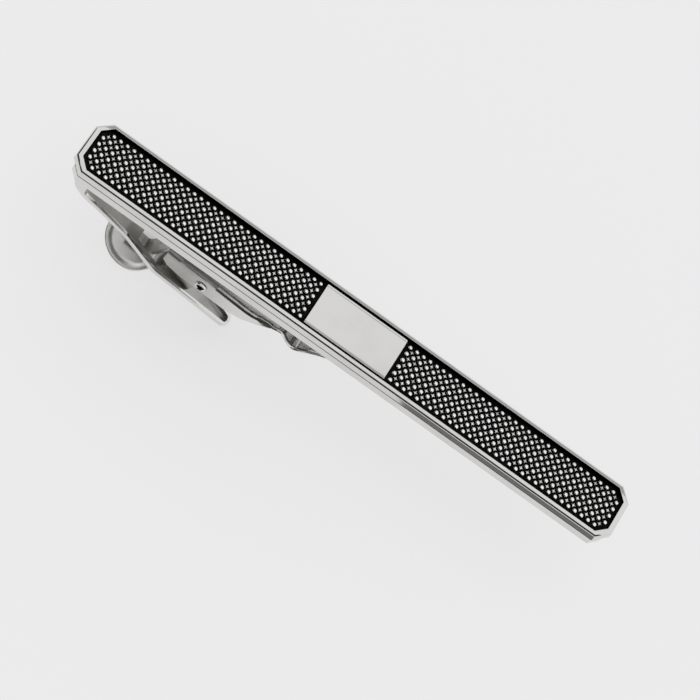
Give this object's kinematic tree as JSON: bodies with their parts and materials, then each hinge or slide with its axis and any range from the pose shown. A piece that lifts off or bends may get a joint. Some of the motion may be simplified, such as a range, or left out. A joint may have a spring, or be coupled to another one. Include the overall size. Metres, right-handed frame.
{
  "type": "tie bar",
  "caption": "Slim octagonal tie bar with beaded dark panels and a plain centre plaque, held on the tie by a sprung pinch clasp with a round thumb pad.",
  "frame": {"origin": "middle of the bar's back face, the face that lies on the tie", "axes": "+X along the bar to its free end, +Y across the bar, +Z out of the show face"},
  "size_m": [0.06, 0.006, 0.0152],
  "materials": {
    "polished_silver": "polished",
    "blackened_beads": "blackened with bright bead tops",
    "spring_steel": "satin"
  },
  "bodies": {
    "bar": {"front_frame": "polished_silver", "inlay_left": "blackened_beads", "inlay_right": "blackened_beads", "centre_plaque": "polished_silver", "clasp_strap": "polished_silver", "hinge_bracket": "polished_silver", "pivot_pin": "polished_silver", "torsion_spring": "spring_steel"},
    "jaw": {"jaw_lever": "polished_silver", "thumb_pad": "polished_silver"}
  },
  "joints": [
    {"name": "jaw_pivot", "type": "hinge", "parent": "bar", "child": "jaw", "pos_m": [-0.0137, 0, -0.0041], "axis": [0, 1, 0], "range_deg": [0, 16], "stiffness_Nm_per_rad": 0.012, "springref_deg": -40.11, "deforming": ["torsion_spring"]}
  ]
}
